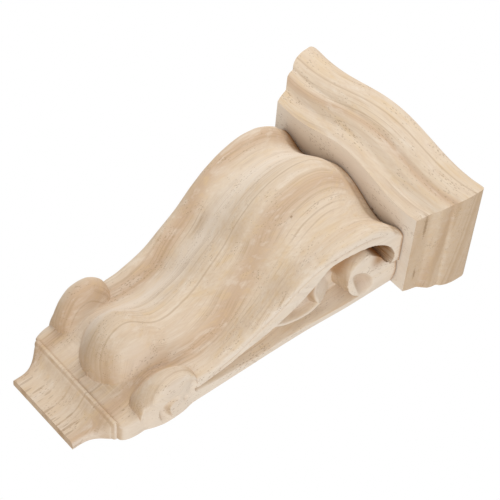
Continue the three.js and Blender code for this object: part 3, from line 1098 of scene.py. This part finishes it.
@dataclass
class Cap:
    """The block glued on top: a bowed front and a moulding that wraps its front and sides."""

    scroll: Scroll
    height: float = 23.6
    reveal: float = 3.8
    bow: float = 5.2
    flare: float = 7.7
    top_radius: float = 3.2
    seam: float = 0.3
    corner_flick: float = 0.6
    front_columns: int = 200
    side_columns: int = 60
    crease_degrees: float = 35.0

    def __post_init__(self) -> None:
        """Work out the cap's place over the scroll and its profile."""
        self.bottom = self.scroll.height + self.seam
        self.half_width = self.scroll.half_width + self.reveal
        self.depth = self.scroll.top_depth + self.scroll.swell_height * 0.8 + self.reveal
        self.profile = Trace([
            (0, 0), (0.11, 0.1), (0.24, 0.19), (0.31, 0.36), (0.38, 0.53), (0.45, 0.6), (0.53, 0.64),
            (0.58, 0.77), (0.7, 0.91), (0.85, 0.98), (1, 1),
        ])

    def offset(self, level: Array) -> Array:
        """Draw the moulding's profile.

        Args:
            level: Heights above the cap's underside.

        Returns:
            How far the moulding stands out at each of them.
        """
        turn = self.height - self.top_radius
        rise = np.sqrt(np.maximum(0.0, self.top_radius**2 - np.maximum(0.0, level - turn) ** 2))
        rounded = self.flare - self.top_radius + rise
        return np.where(level <= turn, self.flare * self.profile(level / turn), rounded)

    def front(self, side: Array) -> Array:
        """Return the depth of the underside's front edge at shares of half the width."""
        out = np.abs(side)
        return self.depth + self.bow * wave(out / 0.8) + self.corner_flick * ease(0.85, 1.0, out)

    def build(self, finish: RawWood) -> Piece:
        """Mould the cap.

        Args:
            finish: The wood it is made from.

        Returns:
            The finished piece.
        """
        turn = self.height - self.top_radius
        angles = np.linspace(0.0, math.pi / 2, 14)[1:]
        rounded = turn + self.top_radius * np.sin(angles)
        level = np.concatenate([np.linspace(0.0, turn, 76), rounded])[:, None]
        out = self.offset(level)
        wide = self.half_width + out
        side = np.linspace(-1.0, 1.0, self.front_columns + 1)[None, :]
        z = self.bottom + level
        front = place_rows(wide * side, self.front(side) + out, np.broadcast_to(z, (len(z), side.size)))
        corner = self.front(np.ones(1))[0] + out
        depth = corner * (1 - np.arange(1, self.side_columns + 1)[None, :] / self.side_columns)
        sides = np.broadcast_to(wide, depth.shape)
        poles = [(self.depth / 2, end) for end in (self.bottom, self.bottom + self.height)]
        piece = wrapped_sheet("moulded_cap", closed_rows(front, sides, depth, z, poles))
        bpy.ops.object.shade_smooth_by_angle(angle=math.radians(self.crease_degrees))
        mark_faces(piece, finish.grain)
        piece.data.materials.append(finish.material())
        return piece


# Studio


@dataclass
class Studio:
    """The camera, the soft light and the plain pale floor."""

    eye: Place = (0.2581, -0.4550, -0.2457)
    right: Place = (0.6512, -0.0590, 0.7567)
    up: Place = (-0.6075, -0.6381, 0.4731)
    back: Place = (0.4549, -0.7677, -0.4513)
    lens: float = 124.57
    sensor: float = 36.0
    key_place: Place = (-0.18, -0.38, 0.25)
    key_power: float = 0.95
    key_size: float = 0.3
    front_place: Place = (0.68, -0.3, -0.56)
    front_power: float = 5.0
    front_size: float = 0.7
    fill: float = 0.71
    floor_height: float = -0.6

    def camera(self) -> None:
        """Set the camera where the photograph was taken from."""
        data = bpy.data.cameras.new("camera")
        data.lens = self.lens
        data.sensor_width = self.sensor
        data.clip_start = 0.01
        camera = bpy.data.objects.new("camera", data)
        bpy.context.scene.collection.objects.link(camera)
        axes = Matrix((self.right, self.up, self.back)).transposed().to_4x4()
        camera.matrix_world = Matrix.Translation(self.eye) @ axes
        bpy.context.scene.camera = camera

    def light(self) -> None:
        """Hang two broad soft lamps and a white surround."""
        self.lamp("key", self.key_place, self.key_power, self.key_size)
        self.lamp("front", self.front_place, self.front_power, self.front_size)
        world = bpy.data.worlds.new("surround")
        bpy.context.scene.world = world
        n = Nodes(world)
        seen = n.add("LightPath").outputs["Is Camera Ray"]
        strength = n.add("MapRange", {"Value": seen, "To Min": self.fill, "To Max": 1.0}).outputs[0]
        white = n.add("Background", {"Color": (1.0, 1.0, 1.0, 1.0), "Strength": strength})
        n.add("OutputWorld", {"Surface": white.outputs[0]})
        bpy.context.scene.view_settings.view_transform = "Standard"

    def lamp(self, name: str, place: Place, power: float, size: float) -> None:
        """Hang one broad soft lamp that shines at the part.

        Args:
            name: The lamp's name.
            place: Where it hangs, in metres.
            power: Its power in watts.
            size: Its width in metres.
        """
        data = bpy.data.lights.new(name, "AREA")
        data.shape = "DISK"
        data.size = size
        data.energy = power
        lamp = bpy.data.objects.new(name, data)
        bpy.context.scene.collection.objects.link(lamp)
        lamp.location = place
        lamp.rotation_euler = Vector(place).to_track_quat("Z", "Y").to_euler()

    def floor(self) -> None:
        """Lay a plain pale floor well below the part."""
        deselect()
        bpy.ops.mesh.primitive_plane_add(size=6.0, location=(0.0, 0.0, self.floor_height))
        floor = bpy.context.active_object
        floor.name = "floor"
        material = bpy.data.materials.new("pale_floor")
        n = Nodes(material)
        grain = n.add("TexNoise", {"Scale": 40.0, "Detail": 3.0}).outputs[0]
        colour = n.tint((0.86, 0.85, 0.83, 1), (0.8, 0.79, 0.77, 1), grain, 0.1)
        shader = n.add("BsdfPrincipled", {"Base Color": colour, "Roughness": 0.7})
        n.add("OutputMaterial", {"Surface": shader.outputs[0]})
        floor.data.materials.append(material)


# Marks on the wood, each by its middle and its half size on each axis, in millimetres
KNOTS: tuple[Fleck, ...] = (((9.0, -38.8, 18.6), (0.4, 1.5, 0.75)),)
TEARS: tuple[Fleck, ...] = (
    ((15.0, -25.2, 50.7), (0.7, 0.9, 0.8)), ((17.0, -24.0, 50.7), (1.0, 0.5, 0.8)),
    ((35.0, -32.0, 54.4), (2.4, 7.5, 0.75)), ((35.0, -8.0, 53.7), (2.4, 3.4, 0.6)),
)


def ride(piece: Piece, node: str) -> None:
    """Fix a piece to the part's body in place of a CAD node.

    Args:
        piece: The finished piece.
        node: The CAD node that it stands for.
    """
    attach(piece, "root")
    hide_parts(node)
    faces = sum(len(p.vertices) - 2 for p in piece.data.polygons)
    log.info("%s stands for %s with %d triangles", piece.name, node, faces)


def main() -> None:
    """Build the corbel's pieces in order and light them."""
    logging.basicConfig(level=logging.INFO, format="%(message)s")
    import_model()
    studio = Studio()
    studio.camera()
    upright = RawWood("raw_wood_up", Grain.UP, dash_strength=0.42, flecks=KNOTS)
    # The cap's painted light on its downward faces is stronger
    crosswise = RawWood("raw_wood_across", Grain.ACROSS, layers=(1.0, 0.12, -0.05), sway=2.0,
                        streaks=((55.0, 2.2),), pale_streaks=(), dark_line=61.5, flecks=TEARS,
                        painted_light_strength=0.7)
    scroll = Scroll()
    ride(scroll.build(upright), "scroll_body")
    ride(Cap(scroll).build(crosswise), "cap")
    studio.light()
    studio.floor()


if __name__ == "__main__":
    main()
